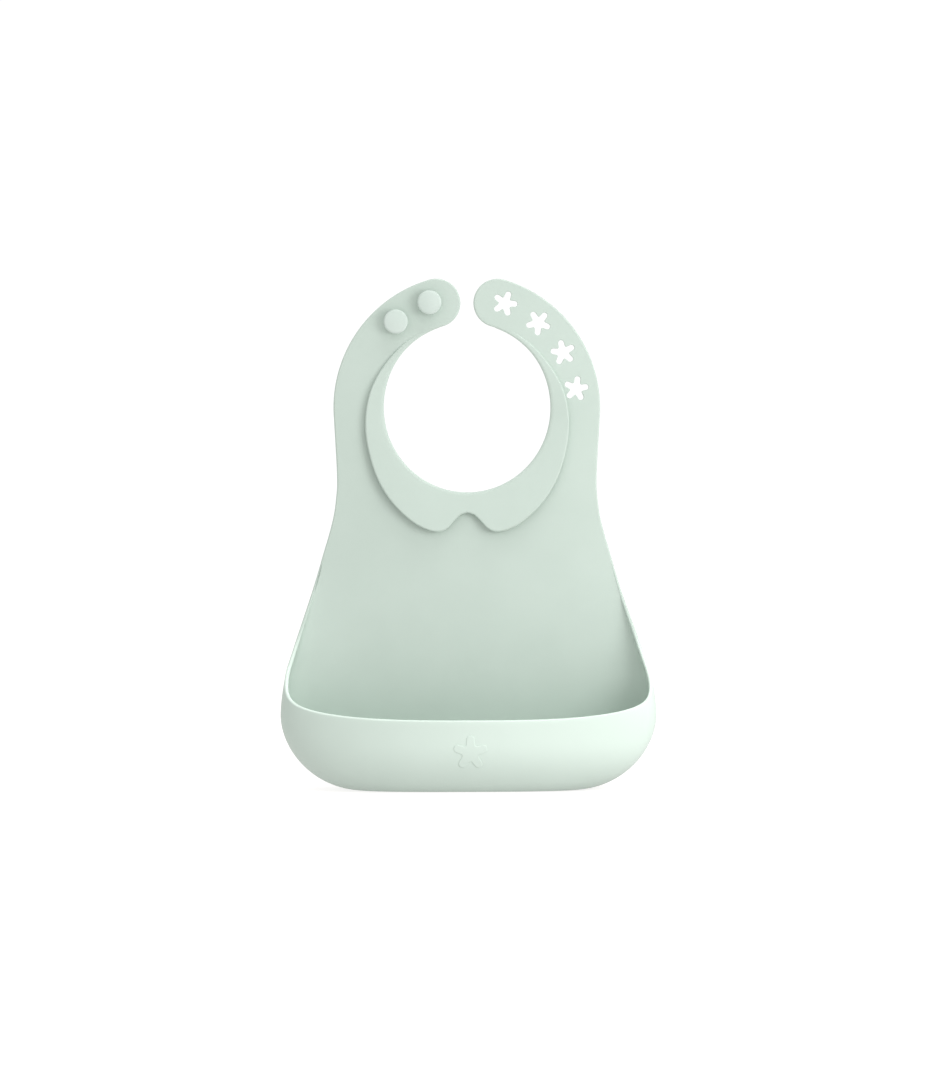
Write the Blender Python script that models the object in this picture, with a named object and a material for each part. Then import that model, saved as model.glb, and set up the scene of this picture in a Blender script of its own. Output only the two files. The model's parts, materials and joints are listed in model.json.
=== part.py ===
"""A one-piece silicone baby bib with a catch pocket.

Frame: the origin is at the centre of the flat base of the pocket, +Z is up, the bib
faces -Y and +X is the viewer's right. All lengths are in metres, angles in degrees.

The sheet stands in a vertical plane. Its two straps are a flat ring round the neck
centre: fold lines are radial, so that folding both straps back turns the ring into a
cone that closes round the neck, one tip on top of the other.
"""
import math

import bmesh
import bpy
from mathutils import Vector

# --- driving dimensions ------------------------------------------------------------
SHEET = 0.0020              # thickness of the apron and the straps
SHEET_Y = 0.0280            # middle plane of the sheet
GAP = 0.0003                # clearance between neighbouring solids

NECK_Z = 0.2350             # height of the neck centre
NECK_RADIUS = 0.0530        # neck opening
STRAP_RADIUS = 0.0834       # outer edge of the straps
BUTTON_TIP_AZIMUTH = 106.5  # centre of the rounded end of the button strap
HOLE_TIP_AZIMUTH = 73.7     # centre of the rounded end of the hole strap
FASTENER_RADIUS = 0.0694    # circle that the studs and the star holes lie on
STUD_AZIMUTHS = (130.0, 110.0)
STAR_AZIMUTHS = (10.0, 30.0, 50.0, 70.0)

ROOT_AZIMUTH = 210.0        # fold of the button strap where it leaves the apron
TIP_AZIMUTH = 160.0         # second fold of the button strap
TIP_FOLD_SHIFT = 0.0015     # second folds lie this far anticlockwise of their radial lines
ROOT_FOLD_DEPTH = 0.0006    # the two root folds bend this far off the middle plane
ROOT_RANGE = (-15.0, 77.0)  # bend of a strap at its root, + is backwards
TIP_RATIO = 0.514           # bend at the second fold for each degree at the root

APRON_FOLD_Z = 0.1400       # line on which the apron folds over the pocket
APRON_BACK_LIMIT = 60.0     # how far the apron bends backwards

STUD_HEAD_RADIUS = 0.0075
STUD_STEM_RADIUS = 0.0021
STUD_STEM_LENGTH = 0.0035   # from the strap's face to the underside of the head
STUD_HEAD_HEIGHT = 0.0034

STAR_REACH = 0.0077         # centre of a star hole to the end of an arm
STAR_ARM = 0.0018           # half the width of an arm
STAR_VALLEY = 0.0038        # centre of a star hole to the corner between two arms

COLLAR_THICKNESS = 0.0032
COLLAR_FOLD_Z = 0.1800      # the two lobes lift on this line
COLLAR_HORN_AZIMUTH = 152.0 # the collar ends here on each side, mirrored on the right
COLLAR_EDGE = (             # outer edge of the left half, as azimuth and radius
    (110.0, 0.0542), (140.0, 0.0565), (172.0, 0.0615), (205.0, 0.0676),
    (228.0, 0.0744), (243.0, 0.0790), (252.0, 0.0801), (257.5, 0.0792),
    (261.5, 0.0750), (265.5, 0.0682), (270.0, 0.0652),
)

SHEET_EDGE = (              # right edge of the sheet below the straps, height and half-width
    (0.0730, 0.1117), (0.0935, 0.1052), (0.1190, 0.0970), (0.1400, 0.0907),
    (0.1640, 0.0840), (0.1790, 0.0817), (0.1930, 0.0812), (0.2280, 0.0831),
)

POCKET_WALL = 0.0026
POCKET_HALF_WIDTH = 0.1150  # at the widest height
POCKET_WIDEST_Z = 0.0450
BASE_HALF_WIDTH = 0.0660    # of the flat base
POCKET_SIDE_Z = 0.0730      # where the pocket's rim meets the edge of the sheet
POCKET_RIM_Z = 0.0440       # height of the rim at the middle of the front
POCKET_FRONT_Y = -0.0315    # outermost face of the pocket's front
BASE_FRONT_Y = -0.0200      # front and back ends of the flat base
BASE_BACK_Y = 0.0220
BELLY_Z = 0.0300            # the front curves outwards up to this height
HEEL_Z = 0.0140             # and the back up to this one
POCKET_SQUARENESS = 3.2     # exponent of the pocket's outline in plan

FRONT_Y = SHEET_Y - SHEET / 2
BACK_Y = SHEET_Y + SHEET / 2


# --- small tools -------------------------------------------------------------------
def clear_scene():
    for obj in list(bpy.data.objects):
        bpy.data.objects.remove(obj, do_unlink=True)


def silicone(name, colour, roughness):
    material = bpy.data.materials.new(name)
    material.use_nodes = True
    shader = material.node_tree.nodes["Principled BSDF"]
    shader.inputs["Base Color"].default_value = (*colour, 1.0)
    shader.inputs["Roughness"].default_value = roughness
    shader.inputs["Metallic"].default_value = 0.0
    material.diffuse_color = (*colour, 1.0)
    return material


def radial(azimuth):
    """Unit vector from the neck centre in the plane of the sheet."""
    angle = math.radians(azimuth)
    return Vector((math.cos(angle), 0.0, math.sin(angle)))


def tangent(azimuth):
    """Unit vector square to radial(), towards larger azimuths."""
    return radial(azimuth + 90.0)


def on_ring(radius, azimuth, y=SHEET_Y):
    return Vector((0.0, y, NECK_Z)) + radius * radial(azimuth)


def spline(points, steps):
    """Catmull-Rom curve through (u, v) points, with steps per span."""
    ends = [2 * Vector(points[0]) - Vector(points[1])]
    ends += [Vector(point) for point in points]
    ends += [2 * Vector(points[-1]) - Vector(points[-2])]
    curve = []
    for a, b, c, d in zip(ends, ends[1:], ends[2:], ends[3:]):
        for step in range(steps):
            t = step / steps
            curve.append(0.5 * (2 * b + (c - a) * t + (2 * a - 5 * b + 4 * c - d) * t * t
                                + (3 * b - 3 * c + d - a) * t ** 3))
    curve.append(Vector(points[-1]))
    return [tuple(point) for point in curve]


def interpolate(curve, u):
    """Value v at u on a curve of (u, v) points with rising u."""
    for (u0, v0), (u1, v1) in zip(curve, curve[1:]):
        if u <= u1:
            return v0 + (v1 - v0) * (u - u0) / (u1 - u0)
    return curve[-1][1]


def arc(centre, radius, start, end, steps):
    """Points (x, z) on an arc round centre, both ends included."""
    points = []
    for step in range(steps + 1):
        angle = math.radians(start + (end - start) * step / steps)
        points.append((centre[0] + radius * math.cos(angle), centre[1] + radius * math.sin(angle)))
    return points


def ring_point(radius, azimuth):
    point = on_ring(radius, azimuth)
    return point.x, point.z


def plate(outlines, y_front, y_back):
    """Flat solid between two values of y. Outlines after the first are holes."""
    bm = bmesh.new()
    edges = []
    for outline in outlines:
        verts = [bm.verts.new((x, y_front, z)) for x, z in outline]
        edges += [bm.edges.new((verts[i - 1], verts[i])) for i in range(len(verts))]
    bmesh.ops.triangle_fill(bm, use_beauty=True, use_dissolve=False, edges=edges)
    grown = bmesh.ops.extrude_face_region(bm, geom=bm.faces[:])
    moved = [item for item in grown["geom"] if isinstance(item, bmesh.types.BMVert)]
    bmesh.ops.translate(bm, verts=moved, vec=(0.0, y_back - y_front, 0.0))
    bmesh.ops.recalc_face_normals(bm, faces=bm.faces[:])
    return bm


def cut(bm, point, normal):
    """Cut away the side that normal points to, and close the cut."""
    bmesh.ops.bisect_plane(bm, geom=bm.verts[:] + bm.edges[:] + bm.faces[:], dist=1e-7,
                           plane_co=point, plane_no=normal, clear_outer=True)
    rim = [edge for edge in bm.edges if edge.is_boundary]
    bmesh.ops.holes_fill(bm, edges=rim, sides=0)
    bmesh.ops.recalc_face_normals(bm, faces=bm.faces[:])


def cut_fold(bm, point, away, front_angle, back_angle):
    """End a plate at a fold line, with room to bend.

    away points along the sheet, out of the part that is cut off. The cut leans back by
    front_angle on the near face and by back_angle on the far face.
    """
    point = Vector(point) - away * (GAP / 2)
    for angle, side in ((front_angle, -1.0), (back_angle, 1.0)):
        lean = math.radians(angle)
        cut(bm, point, away * math.cos(lean) + Vector((0.0, side * math.sin(lean), 0.0)))


def make_object(name, bm, material, parent):
    """Turn a mesh in world places into an object with its origin on its parent empty."""
    origin = parent.matrix_world.translation
    bmesh.ops.translate(bm, verts=bm.verts[:], vec=-origin)
    mesh = bpy.data.meshes.new(name)
    bm.to_mesh(mesh)
    bm.free()
    mesh.materials.append(material)
    obj = bpy.data.objects.new(name, mesh)
    obj.parent = parent
    bpy.context.collection.objects.link(obj)
    return obj


def joint_empty(name, place, parent=None):
    empty = bpy.data.objects.new(name, None)
    empty.empty_display_size = 0.02
    bpy.context.collection.objects.link(empty)
    empty.parent = parent
    above = parent.matrix_world.translation if parent else Vector()
    empty.location = Vector(place) - above
    bpy.context.view_layer.update()
    return empty


# --- the sheet: apron and straps -----------------------------------------------------
def sheet_outline():
    """Edge of the apron above its fold and of both straps, as one closed outline."""
    edge = [(half, z) for z, half in spline(SHEET_EDGE, 4) if z >= APRON_FOLD_Z - 0.001]
    middle = (NECK_RADIUS + STRAP_RADIUS) / 2
    end = (STRAP_RADIUS - NECK_RADIUS) / 2
    joins = edge[-1][1]
    start = math.degrees(math.asin((joins - NECK_Z) / STRAP_RADIUS)) + 1.5
    centre = (0.0, NECK_Z)
    outline = list(edge)
    outline += arc(centre, STRAP_RADIUS, start, HOLE_TIP_AZIMUTH, 20)
    outline += arc(ring_point(middle, HOLE_TIP_AZIMUTH), end,
                   HOLE_TIP_AZIMUTH, HOLE_TIP_AZIMUTH + 180.0, 14)[1:]
    outline += arc(centre, NECK_RADIUS, HOLE_TIP_AZIMUTH, BUTTON_TIP_AZIMUTH - 360.0, 64)[1:]
    outline += arc(ring_point(middle, BUTTON_TIP_AZIMUTH), end,
                   BUTTON_TIP_AZIMUTH + 180.0, BUTTON_TIP_AZIMUTH + 360.0, 14)[1:]
    outline += arc(centre, STRAP_RADIUS, BUTTON_TIP_AZIMUTH, 180.0 - start, 20)[1:]
    outline += [(-x, z) for x, z in reversed(edge)]
    return outline


def star_outline(azimuth):
    """Five-armed star with round arm ends, one arm pointing away from the neck."""
    centre = ring_point(FASTENER_RADIUS, azimuth)
    points = []
    for arm in range(5):
        heading = azimuth + 72.0 * arm
        valley = math.radians(heading - 36.0)
        points.append((centre[0] + STAR_VALLEY * math.cos(valley),
                       centre[1] + STAR_VALLEY * math.sin(valley)))
        along = math.radians(heading)
        tip = (centre[0] + (STAR_REACH - STAR_ARM) * math.cos(along),
               centre[1] + (STAR_REACH - STAR_ARM) * math.sin(along))
        points += arc(tip, STAR_ARM, heading - 90.0, heading + 90.0, 4)
    return points


def mirrored(azimuth):
    return 180.0 - azimuth


def strap_folds(side):
    """Root and tip fold lines of a strap: a point on the fold and the tipward direction.

    side is 'button' (left) or 'hole' (right, the mirror image of the left). The root
    folds lie off the middle plane, the button strap's in front and the hole strap's
    behind, so that the hole strap closes on the outside of the button strap.
    """
    if side == "button":
        root_az, tip_az, sign = ROOT_AZIMUTH, TIP_AZIMUTH, -1.0
        depth = -ROOT_FOLD_DEPTH
    else:
        root_az, tip_az, sign = mirrored(ROOT_AZIMUTH), mirrored(TIP_AZIMUTH), 1.0
        depth = ROOT_FOLD_DEPTH
    root = {"point": on_ring(FASTENER_RADIUS, root_az, SHEET_Y + depth),
            "tipward": sign * tangent(root_az)}
    tip = {"point": on_ring(FASTENER_RADIUS, tip_az) + TIP_FOLD_SHIFT * tangent(tip_az),
           "tipward": sign * tangent(tip_az)}
    return root, tip


def half_bends(limits):
    """Cut angles of a fold: half of each limit plus a degree and a half to spare."""
    forward, backward = limits
    return -forward / 2 + 1.5, backward / 2 + 1.5


ROOT_CUTS = half_bends(ROOT_RANGE)
TIP_CUTS = half_bends([limit * TIP_RATIO for limit in ROOT_RANGE])


def end_at(bm, fold, keep_tipward, cuts):
    """Cut a plate at a fold and keep its tipward or its rootward part."""
    away = -fold["tipward"] if keep_tipward else fold["tipward"]
    cut_fold(bm, fold["point"], away, *cuts)


def one_side(bm, side):
    """Keep the half of the sheet that the strap on this side belongs to."""
    outward = 1.0 if side == "button" else -1.0
    cut(bm, (0.0, 0.0, 0.0), Vector((outward, 0.0, 0.0)))


def apron_panel(material, parent):
    bm = plate([sheet_outline()], FRONT_Y, BACK_Y)
    for side in ("button", "hole"):
        end_at(bm, strap_folds(side)[0], False, ROOT_CUTS)
    cut(bm, (0.0, 0.0, APRON_FOLD_Z + GAP / 2), Vector((0.0, 0.0, -1.0)))
    lean = math.radians(APRON_BACK_LIMIT / 2 + 1.5)
    cut(bm, (0.0, FRONT_Y, APRON_FOLD_Z + GAP / 2), Vector((0.0, math.sin(lean), -math.cos(lean))))
    make_object("apron_panel", bm, material, parent)


def strap_solid(side, part):
    holes = []
    if side == "hole":
        fold_azimuth = mirrored(TIP_AZIMUTH)
        wanted = [az for az in STAR_AZIMUTHS if (az > fold_azimuth) == (part == "tip")]
        holes = [star_outline(azimuth) for azimuth in wanted]
    bm = plate([sheet_outline(), *holes], FRONT_Y, BACK_Y)
    one_side(bm, side)
    root, tip = strap_folds(side)
    if part == "root":
        end_at(bm, root, True, ROOT_CUTS)
        end_at(bm, tip, False, TIP_CUTS)
    else:
        end_at(bm, tip, True, TIP_CUTS)
    return bm


def snap_stud(name, azimuth, material, parent):
    """Mushroom stud: a stem and a domed head, turned about a line square to the sheet."""
    top = STUD_STEM_LENGTH + STUD_HEAD_HEIGHT
    rim = STUD_HEAD_RADIUS
    profile = [(0.0, GAP), (STUD_STEM_RADIUS, GAP), (STUD_STEM_RADIUS, STUD_STEM_LENGTH),
               (rim * 0.93, STUD_STEM_LENGTH), (rim, STUD_STEM_LENGTH + 0.0007),
               (rim, STUD_STEM_LENGTH + 0.0016), (rim * 0.92, top - 0.0009),
               (rim * 0.70, top - 0.0003), (0.0, top)]
    bm = bmesh.new()
    verts = [bm.verts.new((radius, -height, 0.0)) for radius, height in profile]
    edges = [bm.edges.new(pair) for pair in zip(verts, verts[1:])]
    bmesh.ops.spin(bm, geom=verts + edges, axis=(0.0, 1.0, 0.0), cent=(0.0, 0.0, 0.0),
                   angle=math.tau, steps=28, use_merge=True)
    bmesh.ops.remove_doubles(bm, verts=bm.verts[:], dist=1e-6)
    bmesh.ops.recalc_face_normals(bm, faces=bm.faces[:])
    bmesh.ops.translate(bm, verts=bm.verts[:], vec=on_ring(FASTENER_RADIUS, azimuth, FRONT_Y))
    stud = make_object(name, bm, material, parent)
    stud.data.shade_smooth()
    stud.data.set_sharp_from_angle(angle=math.radians(40.0))


# --- the collar ----------------------------------------------------------------------
def collar_outline():
    """Closed outline of the whole collar, horn to horn, round the neck opening."""
    horn = COLLAR_HORN_AZIMUTH
    left = [ring_point(radius, azimuth) for azimuth, radius in spline(COLLAR_EDGE, 5) if azimuth >= horn]
    right = [(-x, z) for x, z in reversed(left)]
    inner = arc((0.0, NECK_Z), NECK_RADIUS, mirrored(horn), horn - 360.0, 48)
    return left + right[1:] + inner


def collar_solid():
    back = FRONT_Y - GAP
    return plate([collar_outline()], back - COLLAR_THICKNESS, back)


def collar_band(material, parent):
    bm = collar_solid()
    for side in ("button", "hole"):
        end_at(bm, strap_folds(side)[0], False, ROOT_CUTS)
    cut(bm, (0.0, 0.0, COLLAR_FOLD_Z + GAP / 2), Vector((0.0, 0.0, -1.0)))
    make_object("collar_band", bm, material, parent)


def collar_flap(material, parent):
    bm = collar_solid()
    cut(bm, (0.0, 0.0, COLLAR_FOLD_Z - GAP / 2), Vector((0.0, 0.0, 1.0)))
    make_object("collar_flap", bm, material, parent)


def strap_collar(side, material, parent):
    bm = collar_solid()
    one_side(bm, side)
    root, tip = strap_folds(side)
    end_at(bm, root, True, ROOT_CUTS)
    end_at(bm, tip, False, TIP_CUTS)
    make_object(side + "_strap_collar", bm, material, parent)


# --- the pocket ----------------------------------------------------------------------
def smooth(t):
    t = min(max(t, 0.0), 1.0)
    return t * t * (3.0 - 2.0 * t)


def pocket_half_width(z):
    """Half of the width of the pocket and of the sheet above it at height z."""
    edge = spline(SHEET_EDGE, 4)
    if z >= POCKET_SIDE_Z:
        return interpolate(edge, z)
    if z >= POCKET_WIDEST_Z:
        t = (z - POCKET_WIDEST_Z) / (POCKET_SIDE_Z - POCKET_WIDEST_Z)
        return POCKET_HALF_WIDTH + (edge[0][1] - POCKET_HALF_WIDTH) * t * t * (1.6 - 0.6 * t)
    round_up = math.sqrt(1.0 - (1.0 - z / POCKET_WIDEST_Z) ** 1.8)
    return BASE_HALF_WIDTH + (POCKET_HALF_WIDTH - BASE_HALF_WIDTH) * round_up


def pocket_front(z):
    """y of the pocket's front at height z."""
    t = min(z / BELLY_Z, 1.0)
    return BASE_FRONT_Y + (POCKET_FRONT_Y - BASE_FRONT_Y) * math.sqrt(1.0 - (1.0 - t) ** 2.2)


def pocket_back(z):
    """y of the pocket's back at height z: it rounds up into the sheet's back face."""
    t = min(z / HEEL_Z, 1.0)
    return BASE_BACK_Y + (BACK_Y - BASE_BACK_Y) * math.sqrt(1.0 - (1.0 - t) ** 2.0)


def side_depth(z):
    """How far the sides lie in front of the back: the sides curl forward low down."""
    full = (pocket_back(z) - pocket_front(z)) / 2
    return full * (1.0 - smooth((z - POCKET_WIDEST_Z) / (APRON_FOLD_Z - POCKET_WIDEST_Z)))


def pocket_point(angle, z):
    """Point of the outer face. angle 90 is the middle of the back, 0 the right side."""
    c = math.cos(math.radians(angle))
    s = math.sin(math.radians(angle))
    power = 2.0 / POCKET_SQUARENESS
    x = pocket_half_width(z) * math.copysign(abs(c) ** power, c)
    side_y = pocket_back(z) - side_depth(z)
    reach = pocket_back(z) - side_y if s >= 0 else side_y - pocket_front(z)
    return Vector((x, side_y + reach * math.copysign(abs(s) ** power, s), z))


def rim_height(angle):
    """Height of the rim over the front half, angle -90 being the middle of the front."""
    t = abs(angle + 90.0) / 90.0
    return POCKET_RIM_Z + (POCKET_SIDE_Z - POCKET_RIM_Z) * (0.62 * t ** 1.8 + 0.38 * t ** 8)


def pocket_columns():
    """Angles round the pocket, closer together where the outline turns."""
    quarter = [0.0, 1.5, 5.0, 11.0, 18.0, 27.0, 38.0, 52.0, 70.0]
    half = quarter + [90.0] + [180.0 - angle for angle in reversed(quarter)]
    return half + [-angle for angle in reversed(half[1:-1])]


def thin_towards_fold(pocket):
    """Weight the wall from its full thickness at the rim to the sheet's at the fold."""
    group = pocket.vertex_groups.new(name="wall")
    for vertex in pocket.data.vertices:
        t = smooth((vertex.co.z - POCKET_SIDE_Z) / (APRON_FOLD_Z - POCKET_SIDE_Z))
        group.add([vertex.index], 1.0 + (SHEET / POCKET_WALL - 1.0) * t, "REPLACE")


def lean_top_edge(pocket):
    """Apply the wall, then cut its top edge down towards the back, so that the apron can lean."""
    walled = pocket.evaluated_get(bpy.context.evaluated_depsgraph_get())
    bm = bmesh.new()
    bm.from_mesh(walled.to_mesh())
    pocket.modifiers.clear()
    lean = math.radians(APRON_BACK_LIMIT / 2 + 1.5)
    cut(bm, (0.0, FRONT_Y, APRON_FOLD_Z - GAP / 2), Vector((0.0, math.sin(lean), math.cos(lean))))
    bm.to_mesh(pocket.data)
    bm.free()


def catch_pocket(material, parent):
    """Grid over the outer face: rows all round up to the rim, more rows on the back."""
    low_rows = [0.0, 0.01, 0.035, 0.08, 0.14, 0.22, 0.33, 0.46, 0.60, 0.74, 0.88, 1.0]
    high_rows = [0.2, 0.4, 0.6, 0.8, 1.0]
    bm = bmesh.new()
    columns = pocket_columns()
    grid = []
    for angle in columns:
        top = POCKET_SIDE_Z if 0.0 <= angle <= 180.0 else rim_height(angle)
        grid.append([bm.verts.new(pocket_point(angle, row * top)) for row in low_rows])
    for left, right in zip(grid, grid[1:] + grid[:1]):
        for row in range(len(low_rows) - 1):
            bm.faces.new((left[row], right[row], right[row + 1], left[row + 1]))
    bm.faces.new([column[0] for column in reversed(grid)])
    back = [index for index, angle in enumerate(columns) if 0.0 <= angle <= 180.0]
    tops = {index: [grid[index][-1]] for index in back}
    fold = APRON_FOLD_Z - GAP / 2
    for index in back:
        for row in high_rows:
            z = POCKET_SIDE_Z + (fold - POCKET_SIDE_Z) * row
            tops[index].append(bm.verts.new(pocket_point(columns[index], z)))
    for left, right in zip(back, back[1:]):
        for row in range(len(high_rows)):
            bm.faces.new((tops[left][row], tops[right][row], tops[right][row + 1], tops[left][row + 1]))
    bmesh.ops.recalc_face_normals(bm, faces=bm.faces[:])
    pocket = make_object("catch_pocket", bm, material, parent)
    thin_towards_fold(pocket)
    shell = pocket.modifiers.new("Wall", "SOLIDIFY")
    shell.thickness = POCKET_WALL
    shell.offset = -1.0
    shell.use_even_offset = True
    shell.vertex_group = "wall"
    lean_top_edge(pocket)
    pocket.data.shade_smooth()
    pocket.data.set_sharp_from_angle(angle=math.radians(40.0))


# --- assembly ------------------------------------------------------------------------
def main():
    clear_scene()
    mint = silicone("mint_silicone", (0.60, 0.70, 0.635), 0.55)
    frosted = silicone("frosted_silicone", (0.66, 0.74, 0.69), 0.65)

    base = joint_empty("base_origin", (0.0, 0.0, 0.0))
    apron = joint_empty("apron_fold_axis", (0.0, FRONT_Y, APRON_FOLD_Z), base)
    collar_front = FRONT_Y - GAP - COLLAR_THICKNESS
    lift = joint_empty("collar_lift_axis", (0.0, collar_front, COLLAR_FOLD_Z), apron)

    catch_pocket(mint, base)
    apron_panel(mint, apron)
    collar_band(mint, apron)
    collar_flap(mint, lift)

    for side in ("button", "hole"):
        root, tip = strap_folds(side)
        root_axis = joint_empty(side + "_strap_root_axis", root["point"], apron)
        tip_axis = joint_empty(side + "_strap_tip_axis", tip["point"], root_axis)
        make_object(side + "_strap_root", strap_solid(side, "root"), mint, root_axis)
        make_object(side + "_strap_tip", strap_solid(side, "tip"), mint, tip_axis)
        strap_collar(side, mint, root_axis)
        if side == "button":
            snap_stud("snap_stud_lower", STUD_AZIMUTHS[0], frosted, tip_axis)
            snap_stud("snap_stud_upper", STUD_AZIMUTHS[1], frosted, tip_axis)


main()
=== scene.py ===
import json
import math

import bmesh
import bpy
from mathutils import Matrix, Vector
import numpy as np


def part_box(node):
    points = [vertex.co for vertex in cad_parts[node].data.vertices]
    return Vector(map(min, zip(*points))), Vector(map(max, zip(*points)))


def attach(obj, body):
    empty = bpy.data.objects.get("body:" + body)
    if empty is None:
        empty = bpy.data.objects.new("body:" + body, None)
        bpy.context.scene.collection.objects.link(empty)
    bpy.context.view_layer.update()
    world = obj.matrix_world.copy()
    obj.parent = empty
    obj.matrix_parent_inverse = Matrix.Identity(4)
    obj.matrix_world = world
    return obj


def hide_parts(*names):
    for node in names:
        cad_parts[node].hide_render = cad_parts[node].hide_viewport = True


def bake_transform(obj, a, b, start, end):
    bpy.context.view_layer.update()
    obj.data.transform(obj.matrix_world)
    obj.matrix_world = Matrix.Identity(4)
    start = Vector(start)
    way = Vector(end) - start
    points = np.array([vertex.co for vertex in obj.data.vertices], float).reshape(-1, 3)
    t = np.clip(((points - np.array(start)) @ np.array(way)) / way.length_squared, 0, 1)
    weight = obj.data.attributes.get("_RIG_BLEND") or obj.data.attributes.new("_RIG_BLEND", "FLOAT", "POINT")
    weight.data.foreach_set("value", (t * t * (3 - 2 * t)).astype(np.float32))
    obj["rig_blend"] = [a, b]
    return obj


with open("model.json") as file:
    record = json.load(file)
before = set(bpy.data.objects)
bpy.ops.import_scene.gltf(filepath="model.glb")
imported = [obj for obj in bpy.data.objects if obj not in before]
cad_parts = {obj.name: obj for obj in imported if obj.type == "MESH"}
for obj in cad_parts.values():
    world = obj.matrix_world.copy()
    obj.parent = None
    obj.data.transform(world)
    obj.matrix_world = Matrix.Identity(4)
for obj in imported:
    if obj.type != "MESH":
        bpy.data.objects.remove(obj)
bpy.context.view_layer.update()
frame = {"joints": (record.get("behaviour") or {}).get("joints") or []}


# --- sizes, from the frame --------------------------------------------------------------
JOINTS = {joint["name"]: joint for joint in frame["joints"]}
FRONT_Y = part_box("apron_panel")[0][1]           # front face of the sheet
BACK_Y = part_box("apron_panel")[1][1]
SHEET = BACK_Y - FRONT_Y
SHEET_Y = (FRONT_Y + BACK_Y) / 2
APRON_FOLD_Z = JOINTS["apron_fold"]["pos_m"][2]
COLLAR_FOLD_Z = JOINTS["collar_lift"]["pos_m"][2]
POCKET_LOW, POCKET_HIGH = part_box("catch_pocket")
POCKET_HALF_WIDTH = POCKET_HIGH[0]
POCKET_FRONT_Y = POCKET_LOW[1]


def fold(joint_name, tipward):
    """A strap's fold line: a point on it, and the direction along the sheet to the tip."""
    joint = JOINTS[joint_name]
    axis = Vector(joint["axis"]).normalized()
    across = Vector((0.0, 1.0, 0.0)).cross(axis)
    if across.dot(Vector(tipward)) < 0.0:
        across = -across
    return Vector(joint["pos_m"]), across


ROOT_FOLDS = {
    "button": fold("button_strap_wrap", (-0.5, 0.0, 0.9)),
    "hole": fold("hole_strap_wrap", (0.5, 0.0, 0.9)),
}
TIP_FOLDS = {
    "button": fold("button_tip_bend", (0.3, 0.0, 0.9)),
    "hole": fold("hole_tip_bend", (-0.3, 0.0, 0.9)),
}
_root = JOINTS["button_strap_wrap"]
NECK_Z = _root["pos_m"][2] - _root["pos_m"][0] * _root["axis"][2] / _root["axis"][0]

# --- sizes of the moulding ----------------------------------------------------------------
NECK_RADIUS = 0.0530
STRAP_RADIUS = 0.0834
BUTTON_TIP_AZIMUTH = 106.5
HOLE_TIP_AZIMUTH = 73.7
FASTENER_RADIUS = 0.0694
STAR_AZIMUTHS = (10.0, 30.0, 50.0, 70.0)
STAR_REACH = 0.0078
STAR_ARM = 0.0018
STAR_VALLEY = 0.0039
STAR_CORNER = 0.0009        # rounding between the arms, which also leaves room for the edge

SHEET_SEAM_Z = 0.1500       # the pocket's skin meets the chest panel here
ROOT_SEAM = -0.0115         # seams of the straps, measured along the sheet from a fold
TIP_SEAM = -0.0120
STRAP_BEND = 0.0085         # half of the length over which a strap bends
APRON_BEND = 0.0075
COLLAR_BEND = 0.0060
FOLD_SLICES = 8             # slices in each half of a bend
CAP_START = 1.15            # the flat faces begin this far in, as a share of the edge's rounding
SHARP_ANGLE = 38.0          # edges that turn more than this are shaded sharp
STAR_EDGE = 0.0003          # rounding of the edge of a star hole

COLLAR_THICKNESS = 0.0026
COLLAR_SEAT_Y = FRONT_Y + 0.0003    # back of the collar at the neck edge
COLLAR_STANDOFF = 0.0030            # how far the edges of the lobes stand off the chest
COLLAR_NECK_INSET = 0.0021          # the neck edge is rounder than the outer edge
COLLAR_OUTER_INSET = 0.0010
COLLAR_EDGE_DEPTH = 0.86            # share of the thickness that the rounding takes up
COLLAR_ROLL = 0.0009                # how far the neck edge rolls into the neck opening
COLLAR_NECK_LAP = 0.0001            # and how far it reaches past the sheet all round
COLLAR_NECK_STEPS = 200
COLLAR_GRID_X = 0.0055              # spacing of the slices that let the collar curve
COLLAR_GRID_Z = 0.0042
COLLAR_LOBE_WIDTH = 0.0260          # from the neck edge to the rim of a lobe
STAND_START, STAND_SPAN = 132.0, 50.0   # degrees round the neck over which the lobes lift off
SINK_START, SINK_SPAN = 104.0, 74.0     # and over which the horns sink into the straps
BULGE_START, BULGE_SPAN = 95.0, 55.0    # and, from straight down, over which the roll fades
HORN_COVER = 0.0004                 # the horns stay this far inside the back of the sheet
COLLAR_EDGE = (
    (108.0, 0.0556), (125.0, 0.0560), (140.0, 0.0567), (155.0, 0.0584), (172.0, 0.0615),
    (188.0, 0.0642), (205.0, 0.0676), (217.0, 0.0711), (228.0, 0.0746), (238.0, 0.0774),
    (246.0, 0.0796), (252.0, 0.0803), (257.0, 0.0796), (260.5, 0.0766), (263.5, 0.0712),
    (266.5, 0.0672), (270.0, 0.0656),
)

SHEET_EDGE = (
    (0.0730, 0.1117), (0.0935, 0.1052), (0.1190, 0.0970), (0.1400, 0.0907),
    (0.1640, 0.0840), (0.1790, 0.0817), (0.1930, 0.0812), (0.2280, 0.0831),
)

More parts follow.
